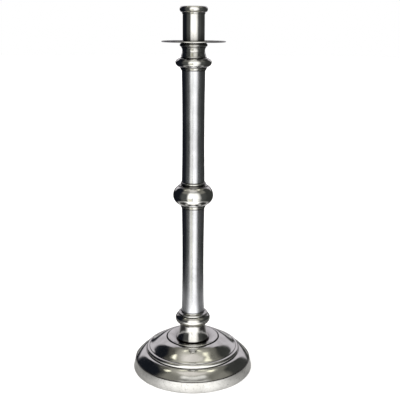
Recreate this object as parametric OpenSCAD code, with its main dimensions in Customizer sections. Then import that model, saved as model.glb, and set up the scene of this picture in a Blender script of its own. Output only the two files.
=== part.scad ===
/* [Base] */
// Radius of the foot band where it meets the table
foot_r = 103; // [95:0.5:112]
// Height of the foot band
foot_h = 17.2; // [15:0.1:19]
// Inward lean of the foot band, bottom to top
foot_lean = 3.3; // [1:0.1:5]
// Radius of the upper dome's edge
edge_r = 80.4; // [77:0.2:84]
// Height of the upper dome's edge
edge_z = 34.2; // [32:0.1:34.5]
// Radius of the dished plateau under the stem
plateau_r = 44; // [40:0.2:47]
// Height of the plateau's rim
plateau_z = 55.3; // [53:0.1:58]
// Wall thickness of the spun base shell
shell_wall = 2; // [1.2:0.1:3]

/* [Stem] */
// Widest radius of the lower knop
lower_knop_r = 29.8; // [27:0.1:34]
// Widest radius of the foot of the lower knop's vase
vase_foot_r = 27.7; // [26:0.1:30]
// Radius of both columns at the waist
column_waist_r = 18.1; // [17.5:0.1:19.5]
// Radius of the bore of the column tubes
column_bore_r = 16.4; // [15:0.1:16.6]
// Height at which the lower column starts
lower_column_z = 103; // [101:0.5:105]
// Height at which the lower column ends
lower_column_top = 286; // [270:1:286]
// Height of the middle knop's widest circle
knop_z = 307.5; // [307:0.1:308]
// Widest radius of the middle knop
knop_r = 33.6; // [30:0.1:38]
// Height at which the upper column starts
upper_column_z = 330; // [329.5:0.5:334]
// Height at which the upper column ends
upper_column_top = 511.4; // [490:0.1:511.4]

/* [Top] */
// Widest radius of the capital's torus
capital_r = 29.1; // [27:0.1:32]
// Radius of the bead on which the drip pan rests
collar_r = 22; // [21.4:0.1:24]
// Radius of the drip pan
pan_r = 50.8; // [44:0.2:60]
// Thickness of the drip pan
pan_t = 1.8; // [1.2:0.1:2.4]
// Radius of the bore that takes the candle
candle_bore_r = 16; // [12.5:0.1:16.2]
// Outer radius of the candle socket
socket_r = 17.4; // [17.2:0.1:19]
// Widest radius of the socket's rim bead
rim_r = 22.1; // [20.5:0.1:24]
// Height of the whole candlestick
total_h = 610; // [606:1:630]
// Radius of the plain spigot that centres the candle socket
spigot_r = 11; // [10.5:0.1:12]

/* [Hidden] */
$fn = 96;

// degrees of turn for each straight step of a rounded outline
arc_step = 7.5;
// slip between a rod or plug and the hole that it goes through
slip = 0.4;
// slip between parts that are pressed or turned to fit
fit = 0.05;
// how late a dome falls away, and how late its lip turns level again
crown_power = 1.5;
lip_power = 8;
dome_lip = 0.1;

// underside of the candlestick
felt_t = 1.5;
felt_r = foot_r - 5;
band_wall = 3;
plate_t = 1.6;
plate_r = foot_r - band_wall - 1;
plate_top = felt_t + plate_t;

// ballast inside the base
weight_gap = 8.8;
weight_r = edge_r - weight_gap;
weight_top = 24;
boss_r = 22;
screw_r = 2;
screw_head_r = 3.8;
screw_length = 11;
screw_circle_r = 55;
screws = 3;

// foot of the vase: undercut below its widest circle, rounded rim, then the bell up to the neck
vase_undercut = 2;
vase_rim_h = 2.8;
vase_neck_r = 22;
vase_neck_drop = 25;
// share of the bell that spreads slowly from the neck, and how late the rest of it spreads
bell_share = 0.75;
bell_power = 8;

// height and radius of the seat on which the vase stands
seat_z = 51.6;
seat_r = vase_foot_r - vase_undercut + 0.1;
// rounding of the plateau's rim and the depth of the groove outside it
rim_round = 1.4;
rim_groove = 2.4;
dome_top_z = plateau_z - rim_round;
// step and bead that end the upper dome, and the ledge under them
step_w = 5.2;
step_h = 4.2;
edge_bead_h = 3.6;
step_groove_r = edge_r - step_w;
ledge_drop = 2.6;
ledge_z = edge_z - ledge_drop;
// how far the inner skin moves inward for each step down, on a dome and at its edge
dome_inset = 0.4;
edge_inset = 0.6;

// tie rod and its nuts
rod_r = 5;
rod_hole_r = rod_r + slip;
nut_flats = 17;
nut_t = 8;
washer_r = 10.2;
washer_t = 1.5;
nut_pocket_r = 11.05;
nut_pocket_h = 12.5;
base_nut_top = plate_top + nut_pocket_h - washer_t;
rod_end = 2;
rod_bottom = base_nut_top - nut_t - rod_end;

// stem
knop_centre_r = 15;
knop_wall = 1.6;
knop_lower_h = 16.2;
knop_lower_semi = 17.2;
knop_upper_h = 16.2;
knop_upper_semi = 18.6;
knop_bottom = knop_z - knop_lower_h;
knop_top = knop_z + knop_upper_h;
lower_collar_h = 2;
lower_collar_flare = 2;
collar_step_r = 23.4;
collar_step_h = 1;
collar_bead_r = 21;
bead_round = 1.5;
column_lip = 0.6;
spacer_r = 9;
bush_h = 14;
column_end_r = 18.9;
column_foot_r = 19.6;
ring_step_r = column_foot_r + 0.3;
ring_bead_r = 24.9;
ring_bead_h = 3.3;
ring_total_h = 6;
lower_ring_z = lower_column_z - ring_total_h;
lower_knop_drop = 13.8;
lower_knop_z = lower_column_z - lower_knop_drop;
lower_knop_belly = 9;
lower_knop_shoulder = 8.8;
knop_core_r = 20.4;

// capital, drip pan and candle socket
upper_ring_h = 3.9;
upper_ring_w = 2.2;
ring_top = upper_column_top + upper_ring_h;
socket_h = 54.9;
pan_z = total_h - socket_h;
pan_top = pan_z + pan_t;
// bead under the drip pan, and the neck under the bead
collar_drop = 4.9;
collar_round = 3;
collar_z = pan_z - collar_drop;
neck_r = 18;
neck_drop = 14.1;
neck_round = 8;
neck_z = pan_z - neck_drop;
flare_drop = 16;
flare_z = pan_z - flare_drop;
// torus of the capital: its tube, its lower and upper rise, and the step on top of it
torus_tube = 9.1;
torus_belly = 7.6;
torus_shoulder = 7.1;
torus_lift = 8.5;
torus_step_r = 21.2;
torus_z = ring_top + torus_lift;
torus_top = torus_z + 7.2;
spigot_depth = 14.5;
spigot_hole_r = spigot_r + fit;
pan_hole_r = spigot_r + 0.35;
nut_seat_lift = 9;
nut_seat_z = ring_top + nut_seat_lift;
rod_top = nut_seat_z + washer_t + nut_t + rod_end;
floor_t = 3.6;
floor_top = pan_top + floor_t;
plug_r = candle_bore_r - 1;
rim_h = 9.6;
rim_half = rim_h / 2;
rim_tube = 3.8;
rim_bevel = 0.4;
under_ring_h = 2.9;

// points along an elliptical arc about (cr, cz), from angle a0 to angle a1
function arc(cr, cz, sr, sz, a0, a1) =
    let (steps = max(2, ceil(abs(a1 - a0) / arc_step)))
    [for (i = [0 : steps]) let (a = a0 + (a1 - a0) * i / steps) [cr + sr * cos(a), cz + sz * sin(a)]];

// points along a hollow sweep from (r0, z0) to (r1, z1): a power below 1 spreads it at the start
function flare(r0, z0, r1, z1, power, steps = 8) =
    [for (i = [0 : steps]) let (t = i / steps) [r0 + (r1 - r0) * pow(t, power), z0 + (z1 - z0) * t]];

// points down a bell from its neck at (r0, z0) to its mouth at (r1, z1)
function bell(r0, z0, r1, z1, steps = 18) =
    [for (i = [0 : steps])
        let (t = i / steps, spread = bell_share * t * t + (1 - bell_share) * pow(t, bell_power))
        [r0 + (r1 - r0) * spread, z0 + (z1 - z0) * t]];

// points down a crowned dome from (r0, z0) to (r1, z1), level at the start: lip flattens the end
function crown(r0, z0, r1, z1, lip = 0, steps = 14) =
    [for (i = [0 : steps])
        let (t = i / steps, fall = (1 + lip) * pow(t, crown_power) - lip * pow(t, lip_power))
        [r0 + (r1 - r0) * t, z0 + (z1 - z0) * fall]];

// points along a waisted tube's outer wall, from the bottom up
function waisted(z0, z1, bottom_r, top_r, steps = 16) =
    [for (i = [0 : steps]) let (t = i / steps, s = 2 * t - 1, end_r = s < 0 ? bottom_r : top_r)
        [column_waist_r + (end_r - column_waist_r) * s * s, z0 + (z1 - z0) * t]];

function backwards(points) = [for (i = [len(points) - 1 : -1 : 0]) points[i]];

module turned(points) rotate_extrude() polygon(points);

module ring(outer_r, inner_r, z, h) translate([0, 0, z]) difference() {
    cylinder(r = outer_r, h = h);
    translate([0, 0, -1]) cylinder(r = inner_r, h = h + 2);
}

module hex_nut(z) translate([0, 0, z]) difference() {
    cylinder(d = nut_flats / cos(30), h = nut_t, $fn = 6);
    translate([0, 0, -1]) cylinder(r = rod_r + fit, h = nut_t + 2);
}

module around_screws()
    for (i = [0 : screws - 1]) rotate([0, 0, i * 360 / screws])
        translate([screw_circle_r, 0, 0]) children();

// ---- underside and ballast ----

module base_felt() color("darkgreen") cylinder(r = felt_r, h = felt_t);

module base_plate() color("dimgray") difference() {
    translate([0, 0, felt_t]) cylinder(r = plate_r, h = plate_t);
    around_screws() translate([0, 0, felt_t - 1]) cylinder(r = screw_head_r + slip, h = plate_t + 2);
}

module plate_screws() color("silver") around_screws() {
    translate([0, 0, felt_t]) cylinder(r = screw_head_r, h = plate_t);
    translate([0, 0, felt_t]) cylinder(r = screw_r, h = screw_length);
}

module base_weight() color("dimgray") difference() {
    union() {
        translate([0, 0, plate_top]) cylinder(r = weight_r, h = weight_top - plate_top);
        translate([0, 0, plate_top]) cylinder(r = boss_r, h = seat_z - shell_wall - plate_top);
    }
    translate([0, 0, plate_top - 1]) cylinder(r = rod_hole_r, h = seat_z);
    translate([0, 0, plate_top - 1]) cylinder(r = nut_pocket_r, h = nut_pocket_h + 1);
    around_screws() translate([0, 0, plate_top - 1]) cylinder(r = screw_r + fit, h = screw_length);
}

// ---- base ----

module foot_band() color("gainsboro") turned(concat(
    [[foot_r - band_wall, 0], [foot_r - 0.5, 0], [foot_r, 0.5]],
    arc(foot_r - foot_lean - 0.8, foot_h - 0.8, 0.8, 0.8, 10, 90),
    [[foot_r - foot_lean - band_wall - 1, foot_h]]));

// one skin of the base shell, inset by t from the outer surface, from the seat out to the foot
function base_skin(t) = let (rim = plateau_r - t * dome_inset, step = step_groove_r - t * dome_inset,
                             edge = edge_r - t * edge_inset, foot = foot_r - foot_lean - t) concat(
    [[seat_r, seat_z - t]],
    arc(rim - rim_round, dome_top_z - t, rim_round, rim_round, 110, 0),
    [[rim, dome_top_z - rim_groove - t], [rim + 1, dome_top_z - rim_groove + 0.8 - t]],
    crown(rim + 2, dome_top_z - t, step - 0.6, edge_z + step_h - t, dome_lip),
    [[step, edge_z + step_h - 1 - t]],
    arc(step + 1, edge_z - t, step_w - 1, edge_bead_h, 95, 0),
    [[edge, ledge_z + 0.6 - t], [edge - 0.9, ledge_z - t]],
    crown(edge, ledge_z - 0.2 - t, foot - 0.9, foot_h + 0.7 - t * 0.3),
    [[foot - 1.2, foot_h]]);

module base_shell() color("silver") turned(concat(
    [[rod_hole_r, seat_z]],
    base_skin(0),
    backwards(base_skin(shell_wall)),
    [[rod_hole_r, seat_z - shell_wall]]));

module base_washer() color("silver") ring(washer_r, rod_hole_r, base_nut_top, washer_t);

module base_nut() color("silver") hex_nut(base_nut_top - nut_t);

module tie_rod() color("silver")
    translate([0, 0, rod_bottom]) cylinder(r = rod_r, h = rod_top - rod_bottom);

// ---- stem ----

// vase foot, hollow neck and torus, turned as one piece
module lower_knop() let (tube = lower_knop_r - knop_core_r) color("silver") turned(concat(
    [[rod_hole_r, seat_z], [vase_foot_r - vase_undercut, seat_z]],
    [[vase_foot_r - vase_undercut * 0.3, seat_z + vase_rim_h * 0.4]],
    [[vase_foot_r, seat_z + vase_rim_h * 0.85]],
    backwards(bell(vase_neck_r, lower_column_z - vase_neck_drop, vase_foot_r - 0.1, seat_z + vase_rim_h)),
    arc(knop_core_r, lower_knop_z, tube, lower_knop_belly, -84, 0),
    arc(knop_core_r, lower_knop_z, tube, lower_knop_shoulder, 10, 62),
    [[knop_core_r + tube * 0.43, lower_ring_z], [rod_hole_r, lower_ring_z]]));

// beaded ring with a step that the lower column stands on
module lower_column_ring() color("silver") turned(concat(
    [[rod_hole_r, lower_ring_z], [ring_bead_r - bead_round / 2, lower_ring_z]],
    arc(ring_bead_r - bead_round, lower_ring_z + ring_bead_h / 2, bead_round, ring_bead_h / 2, -70, 80),
    [[ring_step_r + 1, lower_ring_z + ring_bead_h + 0.3]],
    [[ring_step_r, lower_ring_z + ring_bead_h + 1.2]],
    [[ring_step_r, lower_column_z], [rod_hole_r, lower_column_z]]));

module column(z0, z1, bottom_r, top_r) turned(concat(
    [[column_bore_r, z0]],
    waisted(z0, z1, bottom_r, top_r),
    [[column_bore_r, z1]]));

// plug that centres a column's end on the tie rod
module bush(z) ring(column_bore_r - fit, rod_hole_r, z, bush_h);

module lower_column_bottom_bush() color("dimgray") bush(lower_column_z);

module lower_column() color("silver")
    column(lower_column_z, lower_column_top, column_foot_r, column_end_r);

module lower_column_top_bush() color("dimgray") bush(lower_column_top - bush_h);

module knop_lower_collar() color("silver") turned([
    [rod_hole_r, lower_column_top],
    [column_end_r + column_lip, lower_column_top],
    [column_end_r + column_lip, lower_column_top + lower_collar_h],
    [column_end_r + lower_collar_flare, lower_column_top + lower_collar_h + 0.5],
    [column_end_r + lower_collar_flare + 0.3, knop_bottom],
    [rod_hole_r, knop_bottom]]);

// half of the hollow middle knop: semi is the half's full rise and h is where it is cut off,
// both above the widest circle for the upper half and below it, negative, for the lower half
module knop_half(semi, h)
    let (wall = knop_wall * sign(h), inner = semi - wall, tube = knop_r - knop_centre_r) turned(concat(
        arc(knop_centre_r, knop_z, tube, semi, 0, asin(h / semi)),
        [[spacer_r + fit, knop_z + h], [spacer_r + fit, knop_z + h - wall]],
        backwards(arc(knop_centre_r, knop_z, tube - knop_wall, inner, 0, asin((h - wall) / inner)))));

module knop_lower_half() color("silver") knop_half(-knop_lower_semi, -knop_lower_h);

module knop_upper_half() color("silver") knop_half(knop_upper_semi, knop_upper_h);

// sleeve that carries the pull of the tie rod through the hollow knop
module knop_spacer() color("dimgray") ring(spacer_r, rod_hole_r, knop_bottom, knop_top - knop_bottom);

// thin step on the knop with a bead over it that the upper column stands on
module knop_upper_collar() color("silver") turned(concat(
    [[rod_hole_r, knop_top], [collar_step_r, knop_top], [collar_step_r, knop_top + collar_step_h]],
    [[collar_bead_r - bead_round, knop_top + collar_step_h + 0.5]],
    arc(collar_bead_r - bead_round, upper_column_z - 2, bead_round, 1.6, -80, 80),
    [[column_end_r + 0.2, upper_column_z], [rod_hole_r, upper_column_z]]));

module upper_column_bottom_bush() color("dimgray") bush(upper_column_z);

module upper_column() color("silver")
    column(upper_column_z, upper_column_top, column_end_r, column_end_r);

module upper_column_top_bush() color("dimgray") bush(upper_column_top - bush_h);

module upper_column_ring() color("silver") turned([
    [rod_hole_r, upper_column_top],
    [column_end_r + column_lip, upper_column_top],
    [column_end_r + 1.4, upper_column_top + 1],
    [column_end_r + upper_ring_w, ring_top - 0.6],
    [column_end_r + upper_ring_w, ring_top],
    [rod_hole_r, ring_top]]);

// ---- top ----

// torus, hollow neck and the bead that carries the drip pan, turned as one piece
module capital() color("silver") difference() {
    turned(concat(
        [[0, ring_top], [column_end_r + upper_ring_w + 0.8, ring_top]],
        arc(capital_r - torus_tube, torus_z, torus_tube, torus_belly, -74, 0),
        arc(capital_r - torus_tube, torus_z, torus_tube, torus_shoulder, 10, 78),
        [[torus_step_r - 0.6, torus_top + 0.3]],
        flare(torus_step_r, torus_top + 1, neck_r + 0.2, flare_z, 0.7),
        [[neck_r + 0.7, flare_z + 0.2]],
        arc(neck_r + neck_round, neck_z + 1, neck_round, neck_round, 196, 140),
        [[neck_r + 1.4, collar_z - 2.2]],
        arc(collar_r - collar_round, collar_z, collar_round, 2.4, -60, 0),
        arc(collar_r - collar_round, collar_z, collar_round, 3.6, 10, 66),
        [[collar_r - 1.7, pan_z], [0, pan_z]]));
    translate([0, 0, ring_top - 1]) cylinder(r = rod_hole_r, h = nut_seat_lift + 2);
    translate([0, 0, nut_seat_z]) cylinder(r = spigot_hole_r, h = pan_z - nut_seat_z + 1);
}

module top_washer() color("silver") ring(washer_r, rod_hole_r, nut_seat_z, washer_t);

module top_nut() color("silver") hex_nut(nut_seat_z + washer_t);

module drip_pan() color("silver") turned(concat(
    [[pan_hole_r, pan_z], [pan_r * 0.6, pan_z]],
    arc(pan_r - pan_t / 2, pan_z + pan_t / 2, pan_t / 2, pan_t / 2, -90, 90),
    [[pan_r - 3, pan_top - 0.2], [pan_r * 0.6, pan_top - 0.3]],
    [[socket_r + 1, pan_top], [pan_hole_r, pan_top]]));

// turned plug that closes the candle socket and drops through the pan into the capital
module socket_spigot() color("dimgray") union() {
    translate([0, 0, pan_z - spigot_depth]) cylinder(r = spigot_r, h = spigot_depth + pan_t + floor_t);
    translate([0, 0, pan_top]) cylinder(r = plug_r - fit, h = floor_t);
}

// tube whose bore takes the candle down to an inner ledge
module socket_tube() color("silver") difference() {
    translate([0, 0, pan_top]) cylinder(r = socket_r, h = total_h - 1 - pan_top);
    translate([0, 0, pan_top - 1]) cylinder(r = plug_r, h = floor_t + 2);
    translate([0, 0, floor_top]) cylinder(r = candle_bore_r, h = total_h - floor_top);
}

module socket_rim() let (under_z = total_h - rim_h - under_ring_h) color("silver") turned(concat(
    [[socket_r + fit, under_z], [socket_r + 0.7, under_z + 0.6], [socket_r + 1, total_h - rim_h]],
    arc(rim_r - rim_tube, total_h - rim_half, rim_tube, rim_half, -75, 75),
    [[rim_r - rim_tube - 1.2, total_h], [candle_bore_r + 1, total_h]],
    [[candle_bore_r + rim_bevel, total_h - 0.6], [candle_bore_r + rim_bevel, total_h - 1]],
    [[socket_r + fit, total_h - 1]]));

base_felt();
base_plate();
plate_screws();
base_weight();
foot_band();
base_shell();
base_washer();
base_nut();
tie_rod();
lower_knop();
lower_column_ring();
lower_column_bottom_bush();
lower_column();
lower_column_top_bush();
knop_lower_collar();
knop_lower_half();
knop_spacer();
knop_upper_half();
knop_upper_collar();
upper_column_bottom_bush();
upper_column();
upper_column_top_bush();
upper_column_ring();
capital();
top_washer();
top_nut();
drip_pan();
socket_spigot();
socket_tube();
socket_rim();
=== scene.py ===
"""Altar candlestick in polished and brushed pewter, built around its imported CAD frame."""

from math import ceil, cos, degrees, hypot, pi, radians, sin

import bpy
from mathutils import Matrix, Vector, noise


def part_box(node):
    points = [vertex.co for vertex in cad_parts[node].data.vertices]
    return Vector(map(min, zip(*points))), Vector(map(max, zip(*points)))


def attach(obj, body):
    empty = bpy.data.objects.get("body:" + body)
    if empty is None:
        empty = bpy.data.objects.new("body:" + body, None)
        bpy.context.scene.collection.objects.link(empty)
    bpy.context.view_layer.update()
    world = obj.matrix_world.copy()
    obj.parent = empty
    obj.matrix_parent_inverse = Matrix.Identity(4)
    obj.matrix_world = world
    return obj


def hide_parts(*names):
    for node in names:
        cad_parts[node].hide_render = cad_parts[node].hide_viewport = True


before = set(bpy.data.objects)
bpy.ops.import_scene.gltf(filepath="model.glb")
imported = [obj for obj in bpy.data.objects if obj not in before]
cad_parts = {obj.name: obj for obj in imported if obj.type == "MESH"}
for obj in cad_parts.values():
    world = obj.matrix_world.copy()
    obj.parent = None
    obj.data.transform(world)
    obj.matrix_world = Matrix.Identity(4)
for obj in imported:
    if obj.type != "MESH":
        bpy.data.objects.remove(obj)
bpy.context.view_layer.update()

MM = 0.001

# turned pieces: steps round the axis, shortest step along an outline, and the share of an edge
# that a rounded corner may take
TURN_STEPS = 144
SHORTEST_STEP = 0.05 * MM
CORNER_SHARE = 0.35
# height of the dark line at a seam, and the mark of an end that has none
SEAM = 1.3 * MM
NO_SEAM = -1.0
# size of the shallow unevenness of spun metal
DENT_SIZE = 30 * MM
# reach of the hollows that polish misses, darkened by tarnish and painted shade, and of the
# sheltered places darkened by painted shade
CREASE_REACH = 3.5 * MM
SHADE_REACH = 22 * MM

# the floor, the white paper that the metal sees, and where that paper starts to fade
FLOOR_RADIUS = 12.0
SWEEP_RADIUS = 0.46
SWEEP_FADE = 0.30

STAND = "stand"
PAN = "drip_pan"
SOCKET = "candle_socket"


# ---- shapes ----

def clustered(values, gap=0.004 * MM):
    """Each value's stand-in, the same for all values that lie closer together than the gap."""
    stand_in = {}
    last = group = None
    for value in sorted(set(values)):
        if last is None or value - last > gap:
            group = value
        stand_in[value] = group
        last = value
    return stand_in


def outline(node):
    """Closed (radius, height) outline of a turned CAD node, read from its mesh."""
    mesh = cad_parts[node].data
    radii = [hypot(v.co.x, v.co.y) for v in mesh.vertices]
    heights = [v.co.z for v in mesh.vertices]
    near_r, near_z = clustered(radii), clustered(heights)
    key = [(near_r[r], near_z[z]) for r, z in zip(radii, heights)]
    links = {}
    for edge in mesh.edges:
        a, b = (key[i] for i in edge.vertices)
        if a != b:
            links.setdefault(a, set()).add(b)
            links.setdefault(b, set()).add(a)
    # walks from link to link, from the outermost point round to it again
    start = max(links)
    path, previous = [start], None
    while True:
        here = path[-1]
        onward = [p for p in sorted(links[here])
                  if p != previous and (p not in path or p == start)]
        previous = here
        if not onward or onward[0] == start and len(path) > 2 and len(onward) == 1:
            break
        path.append([p for p in onward if p != start or len(path) < 2][0])
    return [Vector(p) for p in path]


def turn_at(before, here, after):
    """Angle by which the outline turns at a point."""
    return abs((here - before).angle_signed(after - here, 0))


def filleted(points, radius, sharp=radians(24)):
    """The outline with a small round on each sharp corner."""
    made = []
    for i, here in enumerate(points):
        before, after = points[i - 1], points[(i + 1) % len(points)]
        if turn_at(before, here, after) < sharp:
            made.append(here)
            continue
        reach = min(radius, (here - before).length * CORNER_SHARE,
                    (after - here).length * CORNER_SHARE)
        a = here + (before - here).normalized() * reach
        b = here + (after - here).normalized() * reach
        for t in (0, 0.33, 0.67, 1):
            made.append(a * (1 - t) ** 2 + here * 2 * t * (1 - t) + b * t ** 2)
    return made


def curved(points, step=3 * MM, bend=radians(3)):
    """The outline as a smooth curve through its points, in short steps."""
    count = len(points)
    tangents = [(points[(i + 1) % count] - points[i - 1]).normalized() for i in range(count)]
    made = []
    for i in range(count):
        p, q = points[i], points[(i + 1) % count]
        length = (q - p).length
        a, b = tangents[i], tangents[(i + 1) % count]
        turned = abs(a.angle_signed(b, 0))
        steps = max(1, ceil(length / step), ceil(turned / bend))
        steps = min(steps, max(1, int(length / SHORTEST_STEP)))
        for k in range(steps):
            t = k / steps
            made.append(p * (2 * t ** 3 - 3 * t ** 2 + 1) + q * (3 * t ** 2 - 2 * t ** 3)
                        + a * length * (t ** 3 - 2 * t ** 2 + t) + b * length * (t ** 3 - t ** 2))
    return made


def lathe(name, profile, dent):
    """A closed solid of revolution with smooth shading, dented inwards by up to a small depth."""
    vertices, faces = [], []
    count = len(profile)
    widest = max(r for r, z in profile)
    for s in range(TURN_STEPS):
        angle = 2 * pi * s / TURN_STEPS
        for r, z in profile:
            point = Vector((r * cos(angle), r * sin(angle), z))
            pull = dent * r / widest * (0.5 + 0.5 * noise.noise(point / DENT_SIZE))
            vertices.append(((r - pull) * cos(angle), (r - pull) * sin(angle), z))
    for s in range(TURN_STEPS):
        here, there = s * count, (s + 1) % TURN_STEPS * count
        for i in range(count):
            j = (i + 1) % count
            faces.append((here + i, there + i, there + j, here + j))
    mesh = bpy.data.meshes.new(name)
    mesh.from_pydata(vertices, [], faces)
    mesh.update()
    mesh.polygons.foreach_set("use_smooth", [True] * len(faces))
    piece = bpy.data.objects.new(name, mesh)
    bpy.context.collection.objects.link(piece)
    return piece


def mark_seams(piece, node, ends):
    """Stores the heights of the seams at a piece's ends, which the metal's finish darkens."""
    low, high = (corner[2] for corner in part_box(node))
    for end, height in (("low", low), ("high", high)):
        layer = piece.data.attributes.new("seam_" + end, "FLOAT", "POINT")
        value = height if end in ends else NO_SEAM
        layer.data.foreach_set("value", [value] * len(piece.data.vertices))


def turned_piece(node, body, finish, round_r=0.25 * MM, dent=0.0, ends=("low", "high")):
    """The finely turned piece that stands for a CAD node."""
    low, high = (corner[2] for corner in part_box(node))
    profile = [Vector((r, min(max(z, low), high)))
               for r, z in curved(filleted(outline(node), round_r))]
    area = sum(a.x * b.y - b.x * a.y for a, b in zip(profile, profile[1:] + profile[:1]))
    if area < 0:
        profile.reverse()
    piece = lathe("turned_" + node, profile, dent)
    mark_seams(piece, node, ends)
    piece.data.materials.append(finish)
    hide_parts(node)
    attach(piece, body)


# ---- node helpers ----

class Graph:
    """Short calls for building a node tree."""

    def __init__(self, tree):
        self.tree = tree
        tree.nodes.clear()

    def add(self, kind, inputs=None, **settings):
        made = self.tree.nodes.new(kind)
        for key, value in settings.items():
            setattr(made, key, value)
        for key, value in (inputs or {}).items():
            if isinstance(value, bpy.types.NodeSocket):
                self.tree.links.new(value, made.inputs[key])
            else:
                made.inputs[key].default_value = value
        return made

    def math(self, operation, a, b=0.0):
        return self.add("ShaderNodeMath", {0: a, 1: b}, operation=operation).outputs[0]

    def ramp(self, value, low, high, to_low=0.0, to_high=1.0):
        """A smooth step from one level to the other as the value goes from low to high."""
        made = self.add("ShaderNodeMapRange", {"Value": value, "From Min": low, "From Max": high,
                                               "To Min": to_low, "To Max": to_high},
                        interpolation_type="SMOOTHSTEP")
        return made.outputs[0]

    def mix(self, factor, a, b, blend="MIX"):
        made = self.add("ShaderNodeMix", {0: factor, 6: a, 7: b}, data_type="RGBA",
                        blend_type=blend)
        return made.outputs[2]

    def object_point(self):
        return self.add("ShaderNodeTexCoord").outputs["Object"]

    def scaled(self, vector, x, y, z):
        made = self.add("ShaderNodeVectorMath", {0: vector, 1: (x, y, z)}, operation="MULTIPLY")
        return made.outputs[0]

    def azimuth(self, across, along):
        """Angle round the vertical from the direction called along, in degrees."""
        return self.math("MULTIPLY", self.math("ARCTAN2", across, along), degrees(1))

    def noise(self, vector, size, detail=3.0, rough=0.5):
        """Noise whose features are about the given size, in metres."""
        made = self.add("ShaderNodeTexNoise", {"Vector": vector, "Scale": 1 / size,
                                               "Detail": detail, "Roughness": rough})
        return made.outputs[0]

    def rings(self, vector, size):
        """Noise that is the same all round the axis, as turning marks are."""
        split = self.add("ShaderNodeSeparateXYZ", {0: vector})
        flat = self.scaled(vector, 1, 1, 0)
        radius = self.add("ShaderNodeVectorMath", {0: flat}, operation="LENGTH").outputs["Value"]
        around = self.add("ShaderNodeCombineXYZ", {0: radius, 1: split.outputs[2]}).outputs[0]
        return self.noise(around, size, 2.0)

    def bump(self, height, depth, normal=None):
        inputs = {"Height": height, "Strength": 1.0, "Distance": depth}
        if normal is not None:
            inputs["Normal"] = normal
        return self.add("ShaderNodeBump", inputs).outputs[0]


def new_material(name):
    made = bpy.data.materials.new(name)
    made.use_nodes = True
    return made, Graph(made.node_tree)


def principled(graph, colour, roughness, normal, metallic=1.0):
    shader = graph.add("ShaderNodeBsdfPrincipled", {"Base Color": colour, "Roughness": roughness,
                                                    "Normal": normal, "Metallic": metallic})
    graph.add("ShaderNodeOutputMaterial", {"Surface": shader.outputs[0]})


# ---- materials ----

PEWTER = (0.74, 0.735, 0.715, 1)
PEWTER_DULL = (0.60, 0.595, 0.575, 1)
TARNISH = (0.13, 0.125, 0.12, 1)
PAINTED_SHADE = (0.20, 0.196, 0.188, 1)
COLUMN_TINT = (0.93, 0.95, 1.03, 1)


def seam_shade(graph, point):
    """1 in the thin dark line where two pieces meet, fading to 0 away from it."""
    height = graph.add("ShaderNodeSeparateXYZ", {0: point}).outputs[2]
    shade = 0.0
    for name in ("seam_low", "seam_high"):
        seam = graph.add("ShaderNodeAttribute", attribute_name=name).outputs["Fac"]
        away = graph.math("ABSOLUTE", graph.math("SUBTRACT", height, seam))
        shade = graph.math("MAXIMUM", shade, graph.ramp(away, 0.3 * SEAM, SEAM, 0.85, 0))
    return shade


def pewter_colour(graph, point):
    """Silvery grey with a cloudy bloom, darker in the creases where polish never reaches, with
    tarnish and painted shade there, and with painted shade where other parts shelter the metal.
    """
    cloud = graph.ramp(graph.noise(point, 26 * MM, 4), 0.35, 0.7)
    colour = graph.mix(cloud, PEWTER, PEWTER_DULL)
    # painted shade: ambient occlusion darkens the metal where other parts shelter it, such as
    # under the pan and beside the vase
    shade_occlusion = graph.add("ShaderNodeAmbientOcclusion", {"Distance": SHADE_REACH}, samples=8)
    colour = graph.mix(graph.ramp(shade_occlusion.outputs["AO"], 0.45, 0.92, 0.85, 0), colour, PAINTED_SHADE)
    # tarnish and painted shade: ambient occlusion darkens creases and corners
    hollow = graph.add("ShaderNodeAmbientOcclusion", {"Distance": CREASE_REACH}, samples=6)
    crease = graph.ramp(hollow.outputs["AO"], 0.35, 0.85, 1, 0)
    dark = graph.math("MAXIMUM", crease, seam_shade(graph, point))
    return graph.mix(dark, colour, TARNISH)


def polished_pewter():
    """Buffed metal with faint turning lines, soft ripples and small dings."""
    made, graph = new_material("polished_pewter")
    point = graph.object_point()
    smudge = graph.noise(point, 14 * MM, 4, 0.6)
    roughness = graph.ramp(smudge, 0.3, 0.75, 0.08, 0.15)
    normal = graph.bump(graph.noise(point, 16 * MM, 1.5), 0.22 * MM)
    normal = graph.bump(graph.rings(point, 1.3 * MM), 0.006 * MM, normal)
    normal = graph.bump(graph.noise(point, 2.2 * MM, 2), 0.008 * MM, normal)
    principled(graph, pewter_colour(graph, point), roughness, normal)
    return made


def brushed_pewter():
    """Metal rubbed lengthwise, with fine and coarse streaks that run up the column."""
    made, graph = new_material("brushed_pewter")
    point = graph.object_point()
    fine = graph.noise(graph.scaled(point, 1, 1, 0.02), 0.9 * MM, 3, 0.6)
    coarse = graph.noise(graph.scaled(point, 1, 1, 0.05), 3.5 * MM, 3, 0.5)
    roughness = graph.ramp(coarse, 0.3, 0.7, 0.2, 0.3)
    normal = graph.bump(graph.noise(graph.scaled(point, 1, 1, 0.5), 18 * MM, 2), 0.2 * MM)
    normal = graph.bump(coarse, 0.04 * MM, normal)
    normal = graph.bump(fine, 0.01 * MM, normal)
    colour = graph.mix(1.0, pewter_colour(graph, point), COLUMN_TINT, "MULTIPLY")
    principled(graph, colour, roughness, normal)
    return made


def satin_pewter():
    """Dull cast band with fine specks and pores."""
    made, graph = new_material("satin_pewter")
    point = graph.object_point()
    speck = graph.noise(point, 2.0 * MM, 3, 0.7)
    pit = graph.ramp(speck, 0.54, 0.68, 0, 0.55)
    colour = graph.mix(pit, pewter_colour(graph, point), TARNISH)
    roughness = graph.ramp(speck, 0.3, 0.7, 0.3, 0.46)
    normal = graph.bump(speck, 0.05 * MM)
    principled(graph, colour, roughness, normal)
    return made


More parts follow.
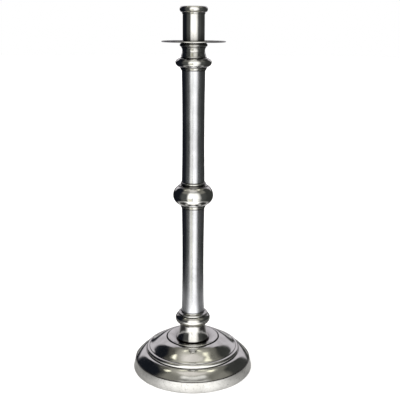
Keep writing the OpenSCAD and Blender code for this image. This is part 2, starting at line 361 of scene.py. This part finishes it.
def zinc_steel():
    """Bright zinc plate with a mottled spangle."""
    made, graph = new_material("zinc_steel")
    point = graph.object_point()
    spangle = graph.noise(point, 4 * MM, 3)
    colour = graph.mix(spangle, (0.50, 0.51, 0.52, 1), (0.62, 0.62, 0.60, 1))
    roughness = graph.ramp(spangle, 0.3, 0.7, 0.26, 0.42)
    normal = graph.bump(graph.noise(point, 0.6 * MM, 2), 0.01 * MM)
    principled(graph, colour, roughness, normal)
    return made


def turned_metal():
    """Plain turned metal with clear tool rings."""
    made, graph = new_material("turned_core_metal")
    point = graph.object_point()
    tool = graph.rings(point, 0.7 * MM)
    colour = graph.mix(tool, (0.42, 0.42, 0.40, 1), (0.56, 0.55, 0.52, 1))
    roughness = graph.ramp(tool, 0.3, 0.7, 0.3, 0.44)
    normal = graph.bump(tool, 0.02 * MM)
    principled(graph, colour, roughness, normal)
    return made


def cast_iron():
    """Rough sand-cast iron with a grey oxide skin."""
    made, graph = new_material("cast_iron")
    point = graph.object_point()
    grain = graph.noise(point, 2.4 * MM, 5, 0.65)
    colour = graph.mix(grain, (0.05, 0.048, 0.045, 1), (0.13, 0.12, 0.11, 1))
    roughness = graph.ramp(grain, 0.3, 0.7, 0.62, 0.82)
    normal = graph.bump(grain, 0.35 * MM)
    principled(graph, colour, roughness, normal, metallic=0.6)
    return made


def baize():
    """Green wool felt with a short, uneven nap."""
    made, graph = new_material("baize_felt")
    point = graph.object_point()
    nap = graph.noise(point, 0.8 * MM, 5, 0.7)
    patch = graph.noise(point, 12 * MM, 3)
    colour = graph.mix(nap, (0.015, 0.06, 0.03, 1), (0.04, 0.13, 0.065, 1))
    colour = graph.mix(graph.math("MULTIPLY", patch, 0.3), colour, (0.03, 0.07, 0.045, 1))
    roughness = graph.ramp(nap, 0.3, 0.7, 0.88, 1.0)
    normal = graph.bump(nap, 0.4 * MM)
    principled(graph, colour, roughness, normal, metallic=0.0)
    return made


# ---- pieces ----

def build_pieces():
    polished, brushed, satin = polished_pewter(), brushed_pewter(), satin_pewter()
    ends = {"base_shell": ("low",), "capital": ("low",), "knop_lower_half": ("low",),
            "knop_upper_half": ("high",), "lower_knop": ("high",)}
    for node in ("base_shell", "lower_knop", "lower_column_ring", "knop_lower_collar",
                 "knop_lower_half", "knop_upper_half", "knop_upper_collar", "upper_column_ring",
                 "capital"):
        dent = 0.4 * MM if node in ("knop_lower_half", "knop_upper_half") else 0.05 * MM
        turned_piece(node, STAND, polished, dent=dent,
                     ends=ends.get(node, ("low", "high")))
    for node in ("lower_column", "upper_column"):
        turned_piece(node, STAND, brushed, dent=0.12 * MM)
    turned_piece("foot_band", STAND, satin, round_r=0.9 * MM, ends=("high",))
    turned_piece("drip_pan", PAN, polished, dent=0.05 * MM, ends=())
    turned_piece("socket_tube", SOCKET, polished, dent=0.05 * MM, ends=("low",))
    turned_piece("socket_rim", SOCKET, polished, dent=0.05 * MM, ends=("low",))


def dress_cad_nodes():
    """Gives each carried-over CAD node its material."""
    steel, core, iron, felt = zinc_steel(), turned_metal(), cast_iron(), baize()
    finishes = {
        "base_felt": felt, "base_weight": iron,
        "base_plate": steel, "plate_screws": steel, "base_washer": steel, "base_nut": steel,
        "tie_rod": steel, "top_washer": steel, "top_nut": steel,
        "lower_column_bottom_bush": core, "lower_column_top_bush": core, "knop_spacer": core,
        "upper_column_bottom_bush": core, "upper_column_top_bush": core, "socket_spigot": core,
    }
    for node, finish in finishes.items():
        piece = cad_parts[node]
        piece.data.materials.clear()
        piece.data.materials.append(finish)


# ---- studio ----

def flat_disc(name, radius, height, material):
    """A round, flat stage surface."""
    angles = [2 * pi * i / TURN_STEPS for i in range(TURN_STEPS)]
    ring = [(radius * cos(angle), radius * sin(angle), height) for angle in angles]
    mesh = bpy.data.meshes.new(name)
    mesh.from_pydata(ring, [], [tuple(range(TURN_STEPS))])
    made = bpy.data.objects.new(name, mesh)
    bpy.context.collection.objects.link(made)
    made.data.materials.append(material)
    return made


def floor_material():
    made, graph = new_material("studio_floor")
    point = graph.object_point()
    cloud = graph.noise(point, 200 * MM, 3)
    tone = graph.mix(cloud, (0.80, 0.80, 0.80, 1), (0.83, 0.83, 0.82, 1))
    shader = graph.add("ShaderNodeBsdfDiffuse", {"Color": tone})
    graph.add("ShaderNodeOutputMaterial", {"Surface": shader.outputs[0]})
    return made


def sweep_material():
    """White paper under the candlestick, as the metal sees it: a glowing sheet whose painted light
    is brightest towards the camera, with a painted shadow beside the base.
    """
    made, graph = new_material("paper_sweep")
    flat = graph.scaled(graph.object_point(), 1, 1, 0)
    split = graph.add("ShaderNodeSeparateXYZ", {0: flat}).outputs
    aside = graph.math("ABSOLUTE", graph.azimuth(split[0], graph.math("MULTIPLY", split[1], -1)))
    reach = graph.add("ShaderNodeVectorMath", {0: flat}, operation="LENGTH").outputs["Value"]
    # bright in front, dimmer at the sides and a little less dim behind
    front = graph.ramp(aside, 20, 75, 1.9, 0.55)
    # painted shadow: a darker zone beside the base, where the base shades the paper
    near = graph.math("MULTIPLY", graph.ramp(reach, 0.13, 0.16),
                      graph.ramp(reach, 0.27, 0.34, 1, 0))
    shaded = graph.math("MULTIPLY", near, graph.ramp(aside, 35, 60, 0, 0.51))
    level = graph.math("ADD", front, graph.ramp(aside, 110, 150, 0, 0.25))
    level = graph.math("SUBTRACT", level, shaded)
    paper = graph.add("ShaderNodeEmission", {"Color": (1, 0.99, 0.97, 1), "Strength": level})
    nothing = graph.add("ShaderNodeBsdfTransparent")
    shader = graph.add("ShaderNodeMixShader", {0: graph.ramp(reach, SWEEP_FADE, SWEEP_RADIUS),
                                               1: paper.outputs[0], 2: nothing.outputs[0]})
    graph.add("ShaderNodeOutputMaterial", {"Surface": shader.outputs[0]})
    return made


class Sky:
    """The studio round the object, as bright and dark patches placed by azimuth and elevation.

    Azimuth 0 is towards the camera and positive to the picture's right, in degrees.
    """

    def __init__(self, graph, colour):
        self.graph = graph
        self.colour = colour
        split = graph.add("ShaderNodeSeparateXYZ",
                          {0: graph.add("ShaderNodeTexCoord").outputs["Generated"]}).outputs
        self.front = graph.azimuth(split[0], graph.math("MULTIPLY", split[1], -1))
        self.back = graph.azimuth(split[0], split[1])
        self.height = graph.math("MULTIPLY", graph.math("ARCSINE", split[2]), degrees(1))

    def band(self, value, low, high, soft_low, soft_high):
        rise = self.graph.ramp(value, low - soft_low, low + soft_low)
        fall = self.graph.ramp(value, high - soft_high, high + soft_high, 1, 0)
        return self.graph.math("MULTIPLY", rise, fall)

    def patch(self, colour, strength, across, up, soft=(10, 10), soft_up=(8, 8), behind=False):
        """Paints a soft-edged patch over what is there. Behind, azimuth counts from the rear."""
        mask = self.band(self.back if behind else self.front, *across, *soft)
        mask = self.graph.math("MULTIPLY", mask, self.band(self.height, *up, *soft_up))
        bright = tuple(c * strength for c in colour) + (1,)
        self.colour = self.graph.mix(mask, self.colour, bright)


CREAM = (1.0, 0.99, 0.955)
PINKISH = (1.0, 0.96, 0.91)
STRAW = (1.0, 0.98, 0.80)
COOL = (0.90, 0.94, 1.0)
GREENISH = (0.96, 1.0, 0.95)
MAUVE = (1.0, 0.96, 1.02)
OLIVE = (1.0, 0.975, 0.86)
DIM_ROOM = (0.010, 0.012, 0.017, 1)
EVERYWHERE = (-200, 200)


def studio_world():
    """White to the camera, and a daylit room to everything that reflects it."""
    world = bpy.data.worlds.new("studio")
    bpy.context.scene.world = world
    world.use_nodes = True
    graph = Graph(world.node_tree)
    sky = Sky(graph, DIM_ROOM)
    sky.patch(GREENISH, 0.050, (15, 200), (-100, 100), soft=(15, 10))
    sky.patch(GREENISH, 0.095, (-74, 80), (-70, 60), soft=(14, 16))
    sky.patch(OLIVE, 0.10, EVERYWHERE, (52, 100), soft_up=(5, 4))
    sky.patch(OLIVE, 0.24, (-80, -30), (34, 100), soft=(8, 10), soft_up=(8, 4))
    sky.patch(OLIVE, 0.27, (30, 92), (34, 100), soft=(10, 8), soft_up=(8, 4))
    sky.patch(OLIVE, 0.22, (45, 200), (52, 100), soft=(15, 4), soft_up=(5, 4))
    sky.patch(OLIVE, 0.22, (-200, -130), (54, 100), soft=(4, 15), soft_up=(5, 4))
    sky.patch(OLIVE, 0.40, EVERYWHERE, (64, 100), soft_up=(4, 4))
    sky.patch(MAUVE, 0.68, (-41, 41), (7, 54), soft=(3, 3), soft_up=(3, 4), behind=True)
    sky.patch(MAUVE, 0.60, (-15, 15), (-60, -3), soft=(8, 8), soft_up=(10, 2), behind=True)
    sky.patch(CREAM, 1.0, (-30, 36), (-38, 56), soft=(10, 18), soft_up=(12, 3))
    sky.patch(CREAM, 1.7, (-29, 34), (-50, 43), soft=(10, 20), soft_up=(8, 8))
    sky.patch(OLIVE, 0.62, EVERYWHERE, (73, 100), soft_up=(4, 4))
    sky.patch(PINKISH, 0.95, (-80, 70), (71, 100), soft=(25, 25), soft_up=(4, 4))
    sky.patch(CREAM, 1.1, (-36, 44), (60, 68), soft=(10, 10), soft_up=(3, 2))
    sky.patch(STRAW, 1.5, (-52, 46), (73, 77), soft=(8, 8), soft_up=(1.5, 1.5), behind=True)
    sky.patch(STRAW, 1.8, (-99, -86), (57, 65), soft=(3, 3), soft_up=(2, 2))
    sky.patch(STRAW, 1.6, (84, 112), (66, 74), soft=(4, 4), soft_up=(2, 2))
    sky.patch(STRAW, 0.95, (-27, -8), (-60, -9), soft=(5, 2), soft_up=(6, 3))
    sky.patch(COOL, 0.33, (-7, -2), (-60, -3), soft=(1.5, 1.5), soft_up=(4, 3))
    seen = graph.add("ShaderNodeLightPath").outputs["Is Camera Ray"]
    colour = graph.mix(seen, sky.colour, (1, 1, 1, 1))
    background = graph.add("ShaderNodeBackground", {"Color": colour, "Strength": 1.0})
    graph.add("ShaderNodeOutputWorld", {"Surface": background.outputs[0]})


def overhead_light():
    """Broad, even daylight for the floor. Metal doesn't mirror it."""
    light = bpy.data.lights.new("overhead", "SUN")
    light.angle = radians(110)
    light.energy = 4.2
    made = bpy.data.objects.new("overhead", light)
    made.rotation_euler = (radians(12), radians(-8), 0)
    made.visible_glossy = False
    bpy.context.collection.objects.link(made)


def build_studio():
    floor = flat_disc("floor", FLOOR_RADIUS, -0.2 * MM, floor_material())
    floor.visible_glossy = False
    sweep = flat_disc("sweep", SWEEP_RADIUS, -0.6 * MM, sweep_material())
    sweep.visible_camera = False
    sweep.visible_diffuse = False
    sweep.visible_shadow = False
    studio_world()
    overhead_light()
    bpy.context.scene.view_settings.view_transform = "Standard"


def place_camera():
    """Camera at the photograph's angle: a little above the socket's rim, looking down the stem."""
    camera = bpy.data.objects.new("camera", bpy.data.cameras.new("camera"))
    camera.data.lens = 62.9
    camera.data.sensor_width = 36
    pitch, roll = radians(14.192), radians(0.33)
    camera.matrix_world = (Matrix.Translation((0.0114, -1.128, 0.5839))
                           @ Matrix.Rotation(pi / 2 - pitch, 4, "X")
                           @ Matrix.Rotation(roll, 4, "Z"))
    bpy.context.collection.objects.link(camera)
    bpy.context.scene.camera = camera


place_camera()
build_pieces()
dress_cad_nodes()
build_studio()
